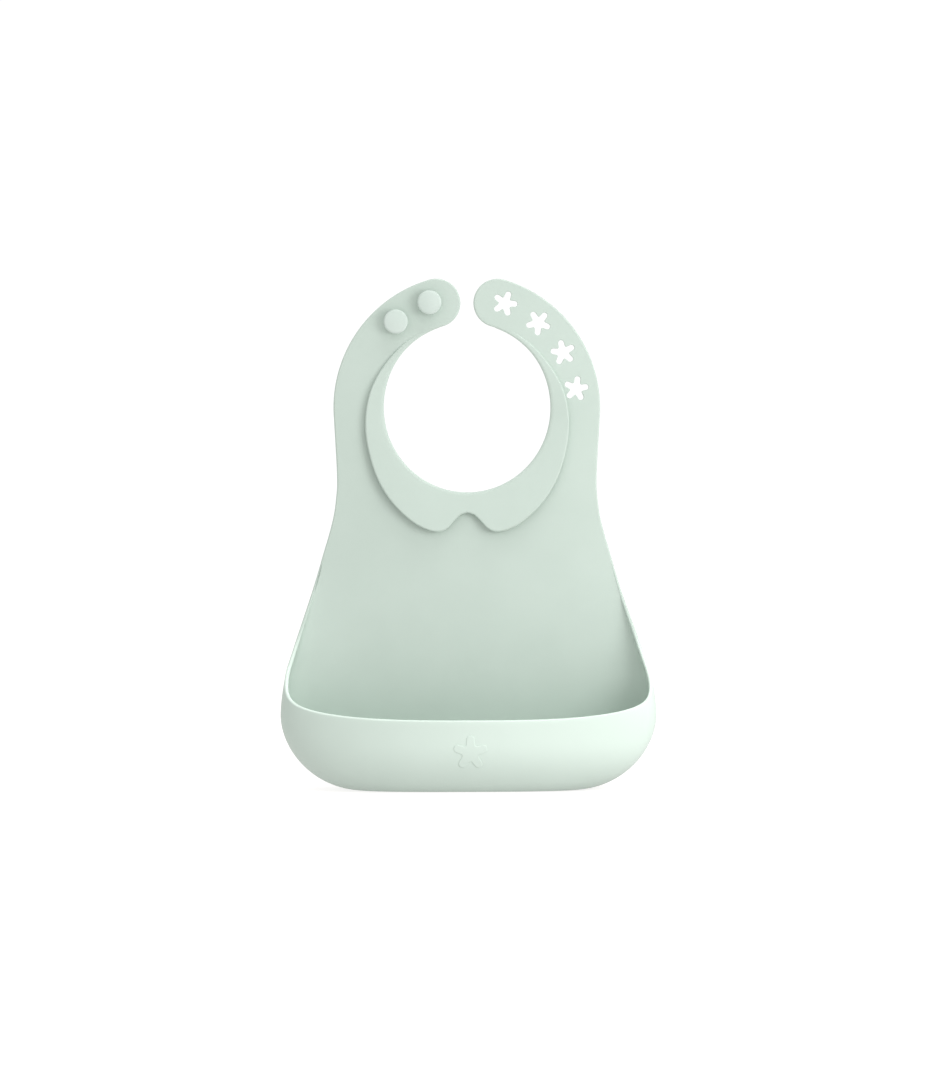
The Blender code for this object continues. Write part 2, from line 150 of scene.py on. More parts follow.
POCKET_WALL = 0.0026
BASE_HALF_WIDTH = 0.0660
POCKET_SIDE_Z = 0.0730
POCKET_RIM_Z = 0.0440
BASE_FRONT_Y = -0.0200
BASE_BACK_Y = 0.0220
POCKET_WIDEST_Z = 0.0450
BELLY_Z = 0.0300            # the front curves outwards up to this height
HEEL_Z = 0.0140             # and the back up to this one
CURL_Z = 0.1120             # above this the sides of the apron turn flat
POCKET_SQUARENESS = 3.2
SIDE_POWER = 1.8            # shape of the sides from the base up, and of the front and the back
BELLY_POWER = 2.2
HEEL_POWER = 2.0
SEAM_MARGIN = 0.0020        # skins are built this far past their seam, and then trimmed
POCKET_COLUMNS = 44         # in a quarter of the outline
POCKET_ROWS = 30            # from the base to the rim
ROW_CROWDING = 1.7          # rows lie closer together towards the base
APRON_ROW = 0.0025          # spacing of the rows above the rim
FOLD_ROW = 0.0010           # and near the fold
FOLD_ROWS_FROM = 0.0100
OUTLINE_SAMPLES = 4000
LIP_FADE = 0.0300           # the painted highlight on the rim's lip ends this far above the pocket's sides
LIP_REACH = 0.0015          # sections of the lip that miss the edge by less are moved out to it
PAINTED_LIGHT = 0.58        # how much lighter the pocket's front gets, at most, and where:
PAINTED_Y, PAINTED_DEPTH = 0.006, 0.026         # it fades in forwards from this y,
PAINTED_Z, PAINTED_RISE = 0.002, 0.030          # upwards from this z,
PAINTED_X, PAINTED_SPREAD = -0.150, 0.200       # and towards +X from this x

STUD_AZIMUTHS = {"snap_stud_lower": 130.0, "snap_stud_upper": 110.0}
STUD_SUNK = 0.0003          # depth of the stem's root in the sheet
STUD_STEM = 0.0021          # radius of the stem
STUD_UNDER = 0.0035         # height of the head's underside above the sheet
STUD_LIP = 0.0010           # rounding of the head's lower edge
STUD_SHOULDER = 0.0014      # and of its upper edge
STUD_CROWN = 0.0005         # height of the dome on the head

RELIEF_Z = 0.0245
RELIEF_SCALE = 1.35         # against the star holes
RELIEF_HEIGHT = 0.0004      # above the pocket's front
RELIEF_THICKNESS = 0.0012
RELIEF_EDGE = 0.0003
RELIEF_INSET = 0.0006
RELIEF_SLICE = 0.0020

# --- the stage ----------------------------------------------------------------------------
SURROUND_LIGHT = 0.82       # the surround as a light
BACKDROP_WHITE = 1.05       # and as the camera sees it
FLOOR_GLOW = 0.76           # the floor as the camera sees it
FLOOR_BOUNCE = 0.50         # and as a light
FLOOR_SIZE = 6.0
FLOOR_Z = -0.0003
SOFTBOXES = (               # name, place, size, power
    ("top", (0.35, -0.25, 1.6), 0.9, 8.5),
    ("key", (1.1, -1.5, 1.5), 0.7, 2.0),
    ("side", (0.45, -0.40, 0.26), 0.35, 1.5),
)
SOFTBOX_TARGET = (0.0, 0.0, 0.12)
CAMERA_TARGET = (0.0012, SHEET_Y, 0.1548)
CAMERA_TURN = 2.0           # degrees
CAMERA_DISTANCE = 1.5
CAMERA_LENS = 80.6


# --- curves -------------------------------------------------------------------------------
def radial(azimuth):
    angle = math.radians(azimuth)
    return Vector((math.cos(angle), 0.0, math.sin(angle)))


def on_ring(radius, azimuth, y=SHEET_Y):
    return Vector((0.0, y, NECK_Z)) + radius * radial(azimuth)


def ring_point(radius, azimuth):
    point = on_ring(radius, azimuth)
    return point.x, point.z


def spline(points, steps):
    """Catmull-Rom curve through (u, v) points, with steps per span."""
    ends = [2 * Vector(points[0]) - Vector(points[1])]
    ends += [Vector(point) for point in points]
    ends += [2 * Vector(points[-1]) - Vector(points[-2])]
    curve = []
    for a, b, c, d in zip(ends, ends[1:], ends[2:], ends[3:]):
        for step in range(steps):
            t = step / steps
            curve.append(0.5 * (2 * b + (c - a) * t + (2 * a - 5 * b + 4 * c - d) * t * t
                                + (3 * b - 3 * c + d - a) * t ** 3))
    curve.append(Vector(points[-1]))
    return [tuple(point) for point in curve]


def interpolate(curve, u):
    for (u0, v0), (u1, v1) in zip(curve, curve[1:]):
        if u <= u1:
            return v0 + (v1 - v0) * (u - u0) / (u1 - u0)
    return curve[-1][1]


def arc(centre, radius, start, end, steps):
    points = []
    for step in range(steps + 1):
        angle = math.radians(start + (end - start) * step / steps)
        points.append((centre[0] + radius * math.cos(angle), centre[1] + radius * math.sin(angle)))
    return points


def smooth(t):
    t = min(max(t, 0.0), 1.0)
    return t * t * (3.0 - 2.0 * t)


EDGE_CURVE = spline(SHEET_EDGE, 12)
COLLAR_CURVE = spline(COLLAR_EDGE, 8)


# --- plates with rounded edges ------------------------------------------------------------
def area(loop):
    return 0.5 * sum(x0 * z1 - x1 * z0 for (x0, z0), (x1, z1) in zip(loop, loop[1:] + loop[:1]))


def inward(loop):
    """Offset direction of each point of a loop, to the left of the way it runs."""
    offsets = []
    count = len(loop)
    for i in range(count):
        before, here, after = (Vector(loop[j % count]) for j in (i - 1, i, i + 1))
        d0 = (here - before).normalized()
        d1 = (after - here).normalized()
        n0 = Vector((-d0.y, d0.x))
        n1 = Vector((-d1.y, d1.x))
        middle = (n0 + n1).normalized()
        offsets.append(middle / max(middle.dot(n0), 0.5))
    return offsets


def edge_profile(y_front, y_back, rounding, segments):
    """(share of the inset, y) pairs round the edge of a plate, from front face to back face."""
    quarter = []
    for step in range(segments + 1):
        angle = math.radians(90.0 * step / segments)
        quarter.append((1.0 - math.sin(angle), rounding * (1.0 - math.cos(angle))))
    front = [(inset, y_front + rise) for inset, rise in quarter]
    back = [(inset, y_back - rise) for inset, rise in reversed(quarter)]
    if (y_back - y_front) - 2.0 * rounding < 1e-6:
        back = back[1:]
    return [(CAP_START, y_front)] + front + back + [(CAP_START, y_back)]


def rounded_plate(loops, y_front, y_back, segments=5):
    """Plate from (points, rounding, insets) loops of (x, z). Loops after the first are holes.
    rounding is how deep the edge is rounded, and insets how far in from each point it starts."""
    bm = bmesh.new()
    caps = ([], [])
    for index, (points, rounding, insets) in enumerate(loops):
        if not isinstance(insets, list):
            insets = [insets] * len(points)
        if (area(points) > 0.0) != (index == 0):
            points = points[::-1]
            insets = insets[::-1]
        offsets = inward(points)
        rings = []
        for share, y in edge_profile(y_front, y_back, rounding, segments):
            ring = []
            for (x, z), offset, inset in zip(points, offsets, insets):
                step = inset * share
                ring.append(bm.verts.new((x + offset.x * step, y, z + offset.y * step)))
            rings.append(ring)
        for near, far in zip(rings, rings[1:]):
            for i in range(len(points)):
                bm.faces.new((near[i - 1], near[i], far[i], far[i - 1]))
        for side, ring in zip(caps, (rings[0], rings[-1])):
            side += [bm.edges.get((ring[i - 1], ring[i])) for i in range(len(ring))]
    for side in caps:
        bmesh.ops.triangle_fill(bm, use_beauty=True, use_dissolve=False, edges=side)
    bmesh.ops.recalc_face_normals(bm, faces=bm.faces[:])
    return bm


def slice_at(bm, point, normal):
    """Add edges where a plane crosses the mesh, so that it can bend there."""
    bmesh.ops.bisect_plane(bm, geom=bm.verts[:] + bm.edges[:] + bm.faces[:], dist=1e-6,
                           plane_co=point, plane_no=normal)


def trim(bm, point, normal):
    """Cut away the side that normal points to, and close the cut."""
    bmesh.ops.bisect_plane(bm, geom=bm.verts[:] + bm.edges[:] + bm.faces[:], dist=1e-6,
                           plane_co=point, plane_no=normal, clear_outer=True)
    bmesh.ops.holes_fill(bm, edges=[edge for edge in bm.edges if edge.is_boundary], sides=0)
    bmesh.ops.recalc_face_normals(bm, faces=bm.faces[:])


def slice_fold(bm, point, across, half_length):
    for step in range(-FOLD_SLICES, FOLD_SLICES + 1):
        slice_at(bm, point + across * (half_length * step / FOLD_SLICES), across)


def to_object(name, bm, material):
    mesh = bpy.data.meshes.new(name)
    bm.to_mesh(mesh)
    bm.free()
    mesh.materials.append(material)
    mesh.shade_smooth()
    mesh.set_sharp_from_angle(angle=math.radians(SHARP_ANGLE))
    obj = bpy.data.objects.new(name, mesh)
    bpy.context.collection.objects.link(obj)
    return obj


# --- materials ----------------------------------------------------------------------------
def silicone(name, dark, light, roughness, grain_scale, grain_depth, with_painted_light=False):
    """Matte moulded silicone: faint mottling, fine grain and slow waves in the surface.
    With the painted-light option its colour is mixed towards a lighter mint where the mesh's mask attribute
    says so: painted highlight and painted light, not a colour of the silicone."""
    material = bpy.data.materials.new(name)
    material.use_nodes = True
    tree = material.node_tree
    nodes = tree.nodes
    links = tree.links
    shader = nodes["Principled BSDF"]
    shader.inputs["IOR"].default_value = 1.41
    shader.inputs["Specular IOR Level"].default_value = 0.42
    shader.inputs["Sheen Weight"].default_value = 0.12
    shader.inputs["Sheen Roughness"].default_value = 0.45

    place = nodes.new("ShaderNodeTexCoord")
    mottle = nodes.new("ShaderNodeTexNoise")
    mottle.inputs["Scale"].default_value = 26.0
    mottle.inputs["Detail"].default_value = 4.0
    mottle.inputs["Roughness"].default_value = 0.55
    links.new(place.outputs["Object"], mottle.inputs["Vector"])
    colours = nodes.new("ShaderNodeValToRGB")
    colours.color_ramp.elements[0].position = 0.30
    colours.color_ramp.elements[0].color = (*dark, 1.0)
    colours.color_ramp.elements[1].position = 0.70
    colours.color_ramp.elements[1].color = (*light, 1.0)
    links.new(mottle.outputs["Fac"], colours.inputs["Fac"])
    links.new(colours.outputs["Color"], shader.inputs["Base Color"])
    # painted light: where the mesh's mask attribute is set, the colour is mixed towards a lighter mint, for
    # the painted highlight on the pocket's lip and the painted light on its front
    if with_painted_light:
        edge = nodes.new("ShaderNodeAttribute")
        edge.attribute_name = "painted_light_mask"
        lighter = [min(1.0, 1.32 * channel + 0.06) for channel in light]
        glow = nodes.new("ShaderNodeMixRGB")
        glow.inputs["Color2"].default_value = (*lighter, 1.0)
        links.new(edge.outputs["Fac"], glow.inputs["Fac"])
        links.new(colours.outputs["Color"], glow.inputs["Color1"])
        links.new(glow.outputs["Color"], shader.inputs["Base Color"])

    grain = nodes.new("ShaderNodeTexNoise")
    grain.inputs["Scale"].default_value = grain_scale
    grain.inputs["Detail"].default_value = 3.0
    grain.inputs["Roughness"].default_value = 0.6
    links.new(place.outputs["Object"], grain.inputs["Vector"])
    spread = nodes.new("ShaderNodeMapRange")
    spread.inputs["To Min"].default_value = roughness - 0.05
    spread.inputs["To Max"].default_value = roughness + 0.06
    links.new(grain.outputs["Fac"], spread.inputs["Value"])
    links.new(spread.outputs["Result"], shader.inputs["Roughness"])

    waves = nodes.new("ShaderNodeTexNoise")
    waves.inputs["Scale"].default_value = 34.0
    waves.inputs["Detail"].default_value = 1.0
    links.new(place.outputs["Object"], waves.inputs["Vector"])
    slow = nodes.new("ShaderNodeBump")
    slow.inputs["Strength"].default_value = 0.12
    slow.inputs["Distance"].default_value = 0.0006
    links.new(waves.outputs["Fac"], slow.inputs["Height"])
    fine = nodes.new("ShaderNodeBump")
    fine.inputs["Strength"].default_value = 0.35
    fine.inputs["Distance"].default_value = grain_depth
    links.new(grain.outputs["Fac"], fine.inputs["Height"])
    links.new(slow.outputs["Normal"], fine.inputs["Normal"])
    links.new(fine.outputs["Normal"], shader.inputs["Normal"])
    return material


MINT_DARK = (0.500, 0.590, 0.530)
MINT_LIGHT = (0.520, 0.610, 0.550)
MINT = silicone("mint_silicone_skin", MINT_DARK, MINT_LIGHT, 0.56, 2600.0, 0.00006)
# the pocket's silicone carries painted light: a painted highlight on the rim's lip and painted light on the
# front, set per vertex by a mask attribute
MINT_POCKET = silicone("mint_silicone_pocket", MINT_DARK, MINT_LIGHT, 0.56, 2600.0, 0.00006,
                       with_painted_light=True)
FROSTED = silicone("frosted_silicone_skin", (0.53, 0.62, 0.565), (0.60, 0.68, 0.635),
                   0.66, 1500.0, 0.00022)


# --- the pocket and the lower apron ---------------------------------------------------------
def half_width(z):
    """Half of the outline's width at a height, from the base to the fold."""
    if z >= POCKET_SIDE_Z:
        flat = smooth((z - CURL_Z) / (APRON_FOLD_Z - CURL_Z))
        return interpolate(EDGE_CURVE, z) - SHEET / 2 * flat
    side = EDGE_CURVE[0][1]
    if z >= POCKET_WIDEST_Z:
        t = (z - POCKET_WIDEST_Z) / (POCKET_SIDE_Z - POCKET_WIDEST_Z)
        return POCKET_HALF_WIDTH + (side - POCKET_HALF_WIDTH) * t * t * (1.6 - 0.6 * t)
    round_up = math.sqrt(1.0 - (1.0 - z / POCKET_WIDEST_Z) ** SIDE_POWER)
    return BASE_HALF_WIDTH + (POCKET_HALF_WIDTH - BASE_HALF_WIDTH) * round_up


def pocket_front(z):
    t = min(z / BELLY_Z, 1.0)
    return BASE_FRONT_Y + (POCKET_FRONT_Y - BASE_FRONT_Y) * math.sqrt(1.0 - (1.0 - t) ** BELLY_POWER)


def pocket_back(z):
    t = min(z / HEEL_Z, 1.0)
    return BASE_BACK_Y + (BACK_Y - BASE_BACK_Y) * math.sqrt(1.0 - (1.0 - t) ** HEEL_POWER)


def side_depth(z):
    """How far the sides lie in front of the back: the sides curl forward low down."""
    full = (pocket_back(z) - pocket_front(z)) / 2
    return full * (1.0 - smooth((z - POCKET_WIDEST_Z) / (APRON_FOLD_Z - POCKET_WIDEST_Z)))


def pocket_point(angle, z):
    """Point of the outer face. angle 90 is the middle of the back, 0 the right side."""
    c = math.cos(math.radians(angle))
    s = math.sin(math.radians(angle))
    power = 2.0 / POCKET_SQUARENESS
    side_y = pocket_back(z) - side_depth(z)
    reach = pocket_back(z) - side_y if s >= 0 else side_y - pocket_front(z)
    x = half_width(z) * math.copysign(abs(c) ** power, c)
    return Vector((x, side_y + reach * math.copysign(abs(s) ** power, s), z))


def rim_height(angle):
    """Height of the pocket's rim: low in the middle of the front and rising to the sides."""
    t = abs(angle + 90.0) / 90.0
    top = POCKET_RIM_Z + (POCKET_SIDE_Z - POCKET_RIM_Z) * (0.62 * t ** 1.8 + 0.38 * t ** 8)
    return top - POCKET_WALL / 2


def even_angles(steps):
    """Angles from 0 to 90 that share out the length of a quarter of the outline."""
    samples = [90.0 * (i / OUTLINE_SAMPLES) ** 2 for i in range(OUTLINE_SAMPLES + 1)]
    points = [pocket_point(angle, 0.050) for angle in samples]
    travelled = [0.0]
    for a, b in zip(points, points[1:]):
        travelled.append(travelled[-1] + (b - a).length)
    angles = []
    index = 0
    for step in range(steps + 1):
        while index < OUTLINE_SAMPLES and travelled[index] < travelled[-1] * step / steps:
            index += 1
        angles.append(samples[index])
    return angles


def wall_thickness(z):
    upward = smooth((z - POCKET_SIDE_Z) / (APRON_FOLD_Z - POCKET_SIDE_Z))
    return POCKET_WALL + (SHEET - POCKET_WALL) * upward


def pocket_mesh():
    """Outer face as a grid, inner face offset from it, and a round edge between the two."""
    quarter = even_angles(POCKET_COLUMNS)
    columns = quarter + [180.0 - a for a in reversed(quarter[:-1])]
    columns += [-180.0 + a for a in quarter[1:]] + [-a for a in reversed(quarter[1:-1])]
    low_rows = [(step / POCKET_ROWS) ** ROW_CROWDING for step in range(POCKET_ROWS + 1)]
    top = SHEET_SEAM_Z + SEAM_MARGIN
    high_rows = []
    z = POCKET_SIDE_Z
    while z < top - 1e-6:
        z += APRON_ROW if z < APRON_FOLD_Z - FOLD_ROWS_FROM else FOLD_ROW
        high_rows.append(min(z, top))
    bm = bmesh.new()
    # mask for painted light: the painted highlight on the rim's lip and the painted light on the pocket's
    # front
    bm.verts.layers.float.new("painted_light_mask")
    grid = []
    for angle in columns:
        high = 0.0 <= angle <= 180.0
        rim = POCKET_SIDE_Z if high else rim_height(angle)
        heights = [row * rim for row in low_rows] + (high_rows if high else [])
        grid.append([bm.verts.new(pocket_point(angle, height)) for height in heights])
    for left, right in zip(grid, grid[1:] + grid[:1]):
        for row in range(min(len(left), len(right)) - 1):
            bm.faces.new((left[row], right[row], right[row + 1], left[row + 1]))
    base = bm.faces.new([column[0] for column in reversed(grid)])
    bmesh.ops.recalc_face_normals(bm, faces=bm.faces[:])
    if base.normal.z > 0.0:
        bmesh.ops.reverse_faces(bm, faces=bm.faces[:])
    bm.normal_update()
    outer_faces = bm.faces[:]
    outer_verts = bm.verts[:]
    normals = {vert: vert.normal.copy() for vert in outer_verts}
    inner = {}
    for vert in outer_verts:
        inner[vert] = bm.verts.new(vert.co - normals[vert] * wall_thickness(vert.co.z))
    for face in outer_faces:
        bm.faces.new([inner[vert] for vert in reversed(face.verts)])
    round_edge(bm, outer_faces, normals, inner, top)
    trim(bm, (0.0, 0.0, SHEET_SEAM_Z), (0.0, 0.0, 1.0))
    paint_light_on_front(bm)
    return bm


def widen_to_edge(lip, z):
    """Shift one section of the lip sideways, so that it just reaches the edge of the sheet."""
    edge = interpolate(EDGE_CURVE, z)
    reach = max(abs(vert.co.x) for vert in lip)
    if edge - reach < LIP_REACH:
        for vert in lip:
            vert.co.x += math.copysign(edge - reach, vert.co.x)


def paint_light_on_front(bm):
    """Lighten the colour of the pocket's front, more towards +X. It is light painted into the
    material to suit this stage, and not a property of the silicone."""
    painted_layer = bm.verts.layers.float["painted_light_mask"]
    for vert in bm.verts:
        front = smooth((PAINTED_Y - vert.co.y) / PAINTED_DEPTH)
        above_base = smooth((vert.co.z - PAINTED_Z) / PAINTED_RISE)
        to_right = smooth((vert.co.x - PAINTED_X) / PAINTED_SPREAD)
        vert[painted_layer] = max(vert[painted_layer], PAINTED_LIGHT * front * above_base * to_right)


def round_edge(bm, outer_faces, normals, inner, top, segments=8):
    """Join the outer and inner faces round their free edge with a half-round lip.
    The pocket's lip gets a painted highlight in the mask attribute, strongest along its top, standing in for
    light that shines through it a little."""
    painted_layer = bm.verts.layers.float["painted_light_mask"]
    shell = set(outer_faces)
    steps = []
    for edge in bm.edges:
        faces = [face for face in edge.link_faces if face in shell]
        if len(faces) == 1 and edge.verts[0] in inner:
            steps.append((edge, faces[0]))
    outward = {}
    for edge, face in steps:
        a, b = edge.verts
        away = (a.co + b.co) / 2 - face.calc_center_median()
        along = (b.co - a.co).normalized()
        away = (away - along * away.dot(along)).normalized()
        for vert in (a, b):
            outward[vert] = outward.get(vert, Vector()) + away
    lips = {}
    for vert, away in outward.items():
        normal = normals[vert]
        if vert.co.z > top - 1e-5:
            sideways = Vector((math.copysign(1.0, vert.co.x), 0.0, 0.0))
            away = sideways if abs(away.x) > 0.5 else Vector()
        away = away - normal * away.dot(normal)
        away = away.normalized() if away.length > 1e-6 else away
        centre = (vert.co + inner[vert].co) / 2
        half = (vert.co - inner[vert].co).length / 2
        ring = [vert]
        for step in range(1, segments):
            angle = math.pi * step / segments
            swing = normal * math.cos(angle) + away * math.sin(angle)
            ring.append(bm.verts.new(centre + half * swing))
        lips[vert] = ring + [inner[vert]]
        if vert.co.z > POCKET_SIDE_Z:
            widen_to_edge(lips[vert], vert.co.z)
        # painted highlight on the lip: strongest at its top, fading out above the pocket's sides
        for step, lip in enumerate(ring):
            through = math.sin(math.pi * step / segments)
            lip[painted_layer] = through * (1.0 - smooth((vert.co.z - POCKET_SIDE_Z) / LIP_FADE))
    for edge, face in steps:
        a, b = edge.verts
        if any(loop.vert == a and loop.link_loop_next.vert == b for loop in face.loops):
            a, b = b, a
        for step in range(segments):
            bm.faces.new((lips[a][step], lips[b][step], lips[b][step + 1], lips[a][step + 1]))


def make_pocket():
    pocket = to_object("catch_pocket_skin", pocket_mesh(), MINT_POCKET)
    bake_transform(pocket, "pocket", "apron", start=(0.0, FRONT_Y, APRON_FOLD_Z - APRON_BEND),
             end=(0.0, FRONT_Y, APRON_FOLD_Z + APRON_BEND))
    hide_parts("catch_pocket")


# --- the chest panel and the straps -----------------------------------------------------------
def sheet_outline():
    """Outline of the flat sheet from its right side over both straps to its left side."""
    edge = [(half, z) for z, half in EDGE_CURVE if z >= SHEET_SEAM_Z - 0.006]
    middle = (NECK_RADIUS + STRAP_RADIUS) / 2
    end = (STRAP_RADIUS - NECK_RADIUS) / 2
    start = math.degrees(math.asin((edge[-1][1] - NECK_Z) / STRAP_RADIUS)) + 1.5
    centre = (0.0, NECK_Z)
    outline = list(edge)
    outline += arc(centre, STRAP_RADIUS, start, HOLE_TIP_AZIMUTH, 56)
    outline += arc(ring_point(middle, HOLE_TIP_AZIMUTH), end,
                   HOLE_TIP_AZIMUTH, HOLE_TIP_AZIMUTH + 180.0, 36)[1:]
    outline += arc(centre, NECK_RADIUS, HOLE_TIP_AZIMUTH, BUTTON_TIP_AZIMUTH - 360.0, 200)[1:]
    outline += arc(ring_point(middle, BUTTON_TIP_AZIMUTH), end,
                   BUTTON_TIP_AZIMUTH + 180.0, BUTTON_TIP_AZIMUTH + 360.0, 36)[1:]
    outline += arc(centre, STRAP_RADIUS, BUTTON_TIP_AZIMUTH, 180.0 - start, 56)[1:]
    outline += [(-x, z) for x, z in reversed(edge)]
    return outline


def star_outline(centre, heading, scale=1.0):
    """Five-armed star with round arm ends and softened corners between the arms."""
    points = []
    for arm in range(5):
        along = heading + 72.0 * arm
        corner = math.radians(along - 36.0)
        valley = (centre[0] + scale * (STAR_VALLEY + STAR_CORNER) * math.cos(corner),
                  centre[1] + scale * (STAR_VALLEY + STAR_CORNER) * math.sin(corner))
        points += arc(valley, scale * STAR_CORNER, along - 36.0 + 226.0, along - 36.0 + 134.0, 6)
        way = math.radians(along)
        tip = (centre[0] + scale * (STAR_REACH - STAR_ARM) * math.cos(way),
               centre[1] + scale * (STAR_REACH - STAR_ARM) * math.sin(way))
        points += arc(tip, scale * STAR_ARM, along - 84.0, along + 84.0, 8)
    return points


def sheet_plate(with_stars=False):
    loops = [(sheet_outline(), SHEET / 2, SHEET / 2)]
    if with_stars:
        for azimuth in STAR_AZIMUTHS:
            star = star_outline(ring_point(FASTENER_RADIUS, azimuth), azimuth)
            loops.append((star, STAR_EDGE, STAR_EDGE))
    return rounded_plate(loops, FRONT_Y, BACK_Y)


def make_chest_panel():
    bm = sheet_plate()
    for point, across in ROOT_FOLDS.values():
        trim(bm, point + across * ROOT_SEAM, across)
    trim(bm, (0.0, 0.0, SHEET_SEAM_Z), (0.0, 0.0, -1.0))
    panel = to_object("chest_panel_skin", bm, MINT)
    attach(panel, "apron")
    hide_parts("apron_panel")


def strap_part(bm, side, part):
    """Cut one strap's root or tip out of the sheet or the collar, and slice its fold."""
    other_side = 1.0 if side == "button" else -1.0
    trim(bm, (0.0, 0.0, 0.0), (other_side, 0.0, 0.0))
    root_point, root_across = ROOT_FOLDS[side]
    tip_point, tip_across = TIP_FOLDS[side]
    if part == "root":
        trim(bm, root_point + root_across * ROOT_SEAM, -root_across)
        trim(bm, tip_point + tip_across * TIP_SEAM, tip_across)
        slice_fold(bm, root_point, root_across, STRAP_BEND)
    else:
        trim(bm, tip_point + tip_across * TIP_SEAM, -tip_across)
        slice_fold(bm, tip_point, tip_across, STRAP_BEND)
    return bm


def blend_strap(piece, side, part):
    point, across = ROOT_FOLDS[side] if part == "root" else TIP_FOLDS[side]
    bodies = {
        ("button", "root"): ("apron", "button_strap"), ("button", "tip"): ("button_strap", "button_tip"),
        ("hole", "root"): ("apron", "hole_strap"), ("hole", "tip"): ("hole_strap", "hole_tip"),
    }
    first, second = bodies[side, part]
    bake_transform(piece, first, second, start=tuple(point - across * STRAP_BEND),
             end=tuple(point + across * STRAP_BEND))


def make_strap(side, part):
    bm = strap_part(sheet_plate(with_stars=side == "hole"), side, part)
    piece = to_object(f"{side}_strap_{part}_skin", bm, MINT)
    blend_strap(piece, side, part)
    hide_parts(f"{side}_strap_{part}")


# --- the collar -----------------------------------------------------------------------------
def neck_bulge(azimuth):
    """1 round the lower neck, and down to nothing at the tips of the horns."""
    away = abs((azimuth + 90.0 + 180.0) % 360.0 - 180.0)
    return 1.0 - smooth((away - BULGE_START) / BULGE_SPAN)


def neck_edge(azimuth):
    """Radius of the collar's inner edge: it rolls a little into the hole at the sides."""
    sideways = math.cos(math.radians(azimuth)) ** 2
    return NECK_RADIUS - COLLAR_NECK_LAP - COLLAR_ROLL * sideways * neck_bulge(azimuth)


def collar_plate():
    """The whole collar, lobes and horns, curved forwards from a flat plate."""
    left = [ring_point(radius, azimuth) for azimuth, radius in COLLAR_CURVE]
    right = [(-x, z) for x, z in reversed(left[:-1])]
    horn = COLLAR_EDGE[0][0]
    inner = []
    insets = [COLLAR_OUTER_INSET] * len(left + right)
    for step in range(1, COLLAR_NECK_STEPS):
        azimuth = 180.0 - horn - (360.0 - 2.0 * horn + 180.0) * step / COLLAR_NECK_STEPS
        inner.append(ring_point(neck_edge(azimuth), azimuth))
        rounder = (COLLAR_NECK_INSET - COLLAR_OUTER_INSET) * neck_bulge(azimuth)
        insets.append(COLLAR_OUTER_INSET + rounder)
    rounding = COLLAR_THICKNESS / 2 * COLLAR_EDGE_DEPTH
    bm = rounded_plate([(left + right + inner, rounding, insets)],
                       COLLAR_SEAT_Y - COLLAR_THICKNESS, COLLAR_SEAT_Y, segments=6)
    for step in range(-10, 11):
        slice_at(bm, (COLLAR_GRID_X * step, 0.0, 0.0), (1.0, 0.0, 0.0))
    for step in range(-20, 12):
        slice_at(bm, (0.0, 0.0, NECK_Z + COLLAR_GRID_Z * step), (0.0, 0.0, 1.0))
    for vert in bm.verts:
        vert.co.y = min(vert.co.y - collar_lift(vert.co), BACK_Y - HORN_COVER)
    return bm


def collar_lift(place):
    """How far forward the collar lies: it stands off its outer edge and sinks away at its horns."""
    x = abs(place.x)
    height = place.z - NECK_Z
    azimuth = 180.0 - math.degrees(math.atan2(height, x))
    out = math.hypot(x, height) - NECK_RADIUS
    stand = COLLAR_STANDOFF * min(max(out, 0.0) / COLLAR_LOBE_WIDTH, 1.2) ** 0.85
    sink = COLLAR_THICKNESS * (1.0 - smooth((azimuth - SINK_START) / SINK_SPAN))
    return stand * smooth((azimuth - STAND_START) / STAND_SPAN) - sink


def make_collar():
    bm = collar_plate()
    for point, across in ROOT_FOLDS.values():
        trim(bm, point + across * ROOT_SEAM, across)
    lift = Vector((0.0, 0.0, COLLAR_FOLD_Z))
    slice_fold(bm, lift, Vector((0.0, 0.0, 1.0)), COLLAR_BEND)
    collar = to_object("collar_skin", bm, MINT)
    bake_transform(collar, "apron", "collar_lobes", start=(0.0, FRONT_Y, COLLAR_FOLD_Z + COLLAR_BEND),
             end=(0.0, FRONT_Y, COLLAR_FOLD_Z - COLLAR_BEND))
    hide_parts("collar_band", "collar_flap")
    for side in ("button", "hole"):
        for part in ("root", "tip"):
            bm = strap_part(collar_plate(), side, part)
            horn = to_object(f"{side}_horn_{part}_skin", bm, MINT)
            blend_strap(horn, side, part)
            if part == "root":
                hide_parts(f"{side}_strap_collar")


# --- the studs and the relief -----------------------------------------------------------------
def turned(profile, steps=72):
    """Solid turned about -Y from (radius, height) pairs that begin and end on the axis."""
    bm = bmesh.new()
    verts = [bm.verts.new((radius, -height, 0.0)) for radius, height in profile]
    edges = [bm.edges.new(pair) for pair in zip(verts, verts[1:])]
    bmesh.ops.spin(bm, geom=verts + edges, axis=(0.0, 1.0, 0.0), cent=(0.0, 0.0, 0.0),
                   angle=math.tau, steps=steps, use_merge=True)
    bmesh.ops.remove_doubles(bm, verts=bm.verts[:], dist=1e-6)
    bmesh.ops.recalc_face_normals(bm, faces=bm.faces[:])
    return bm


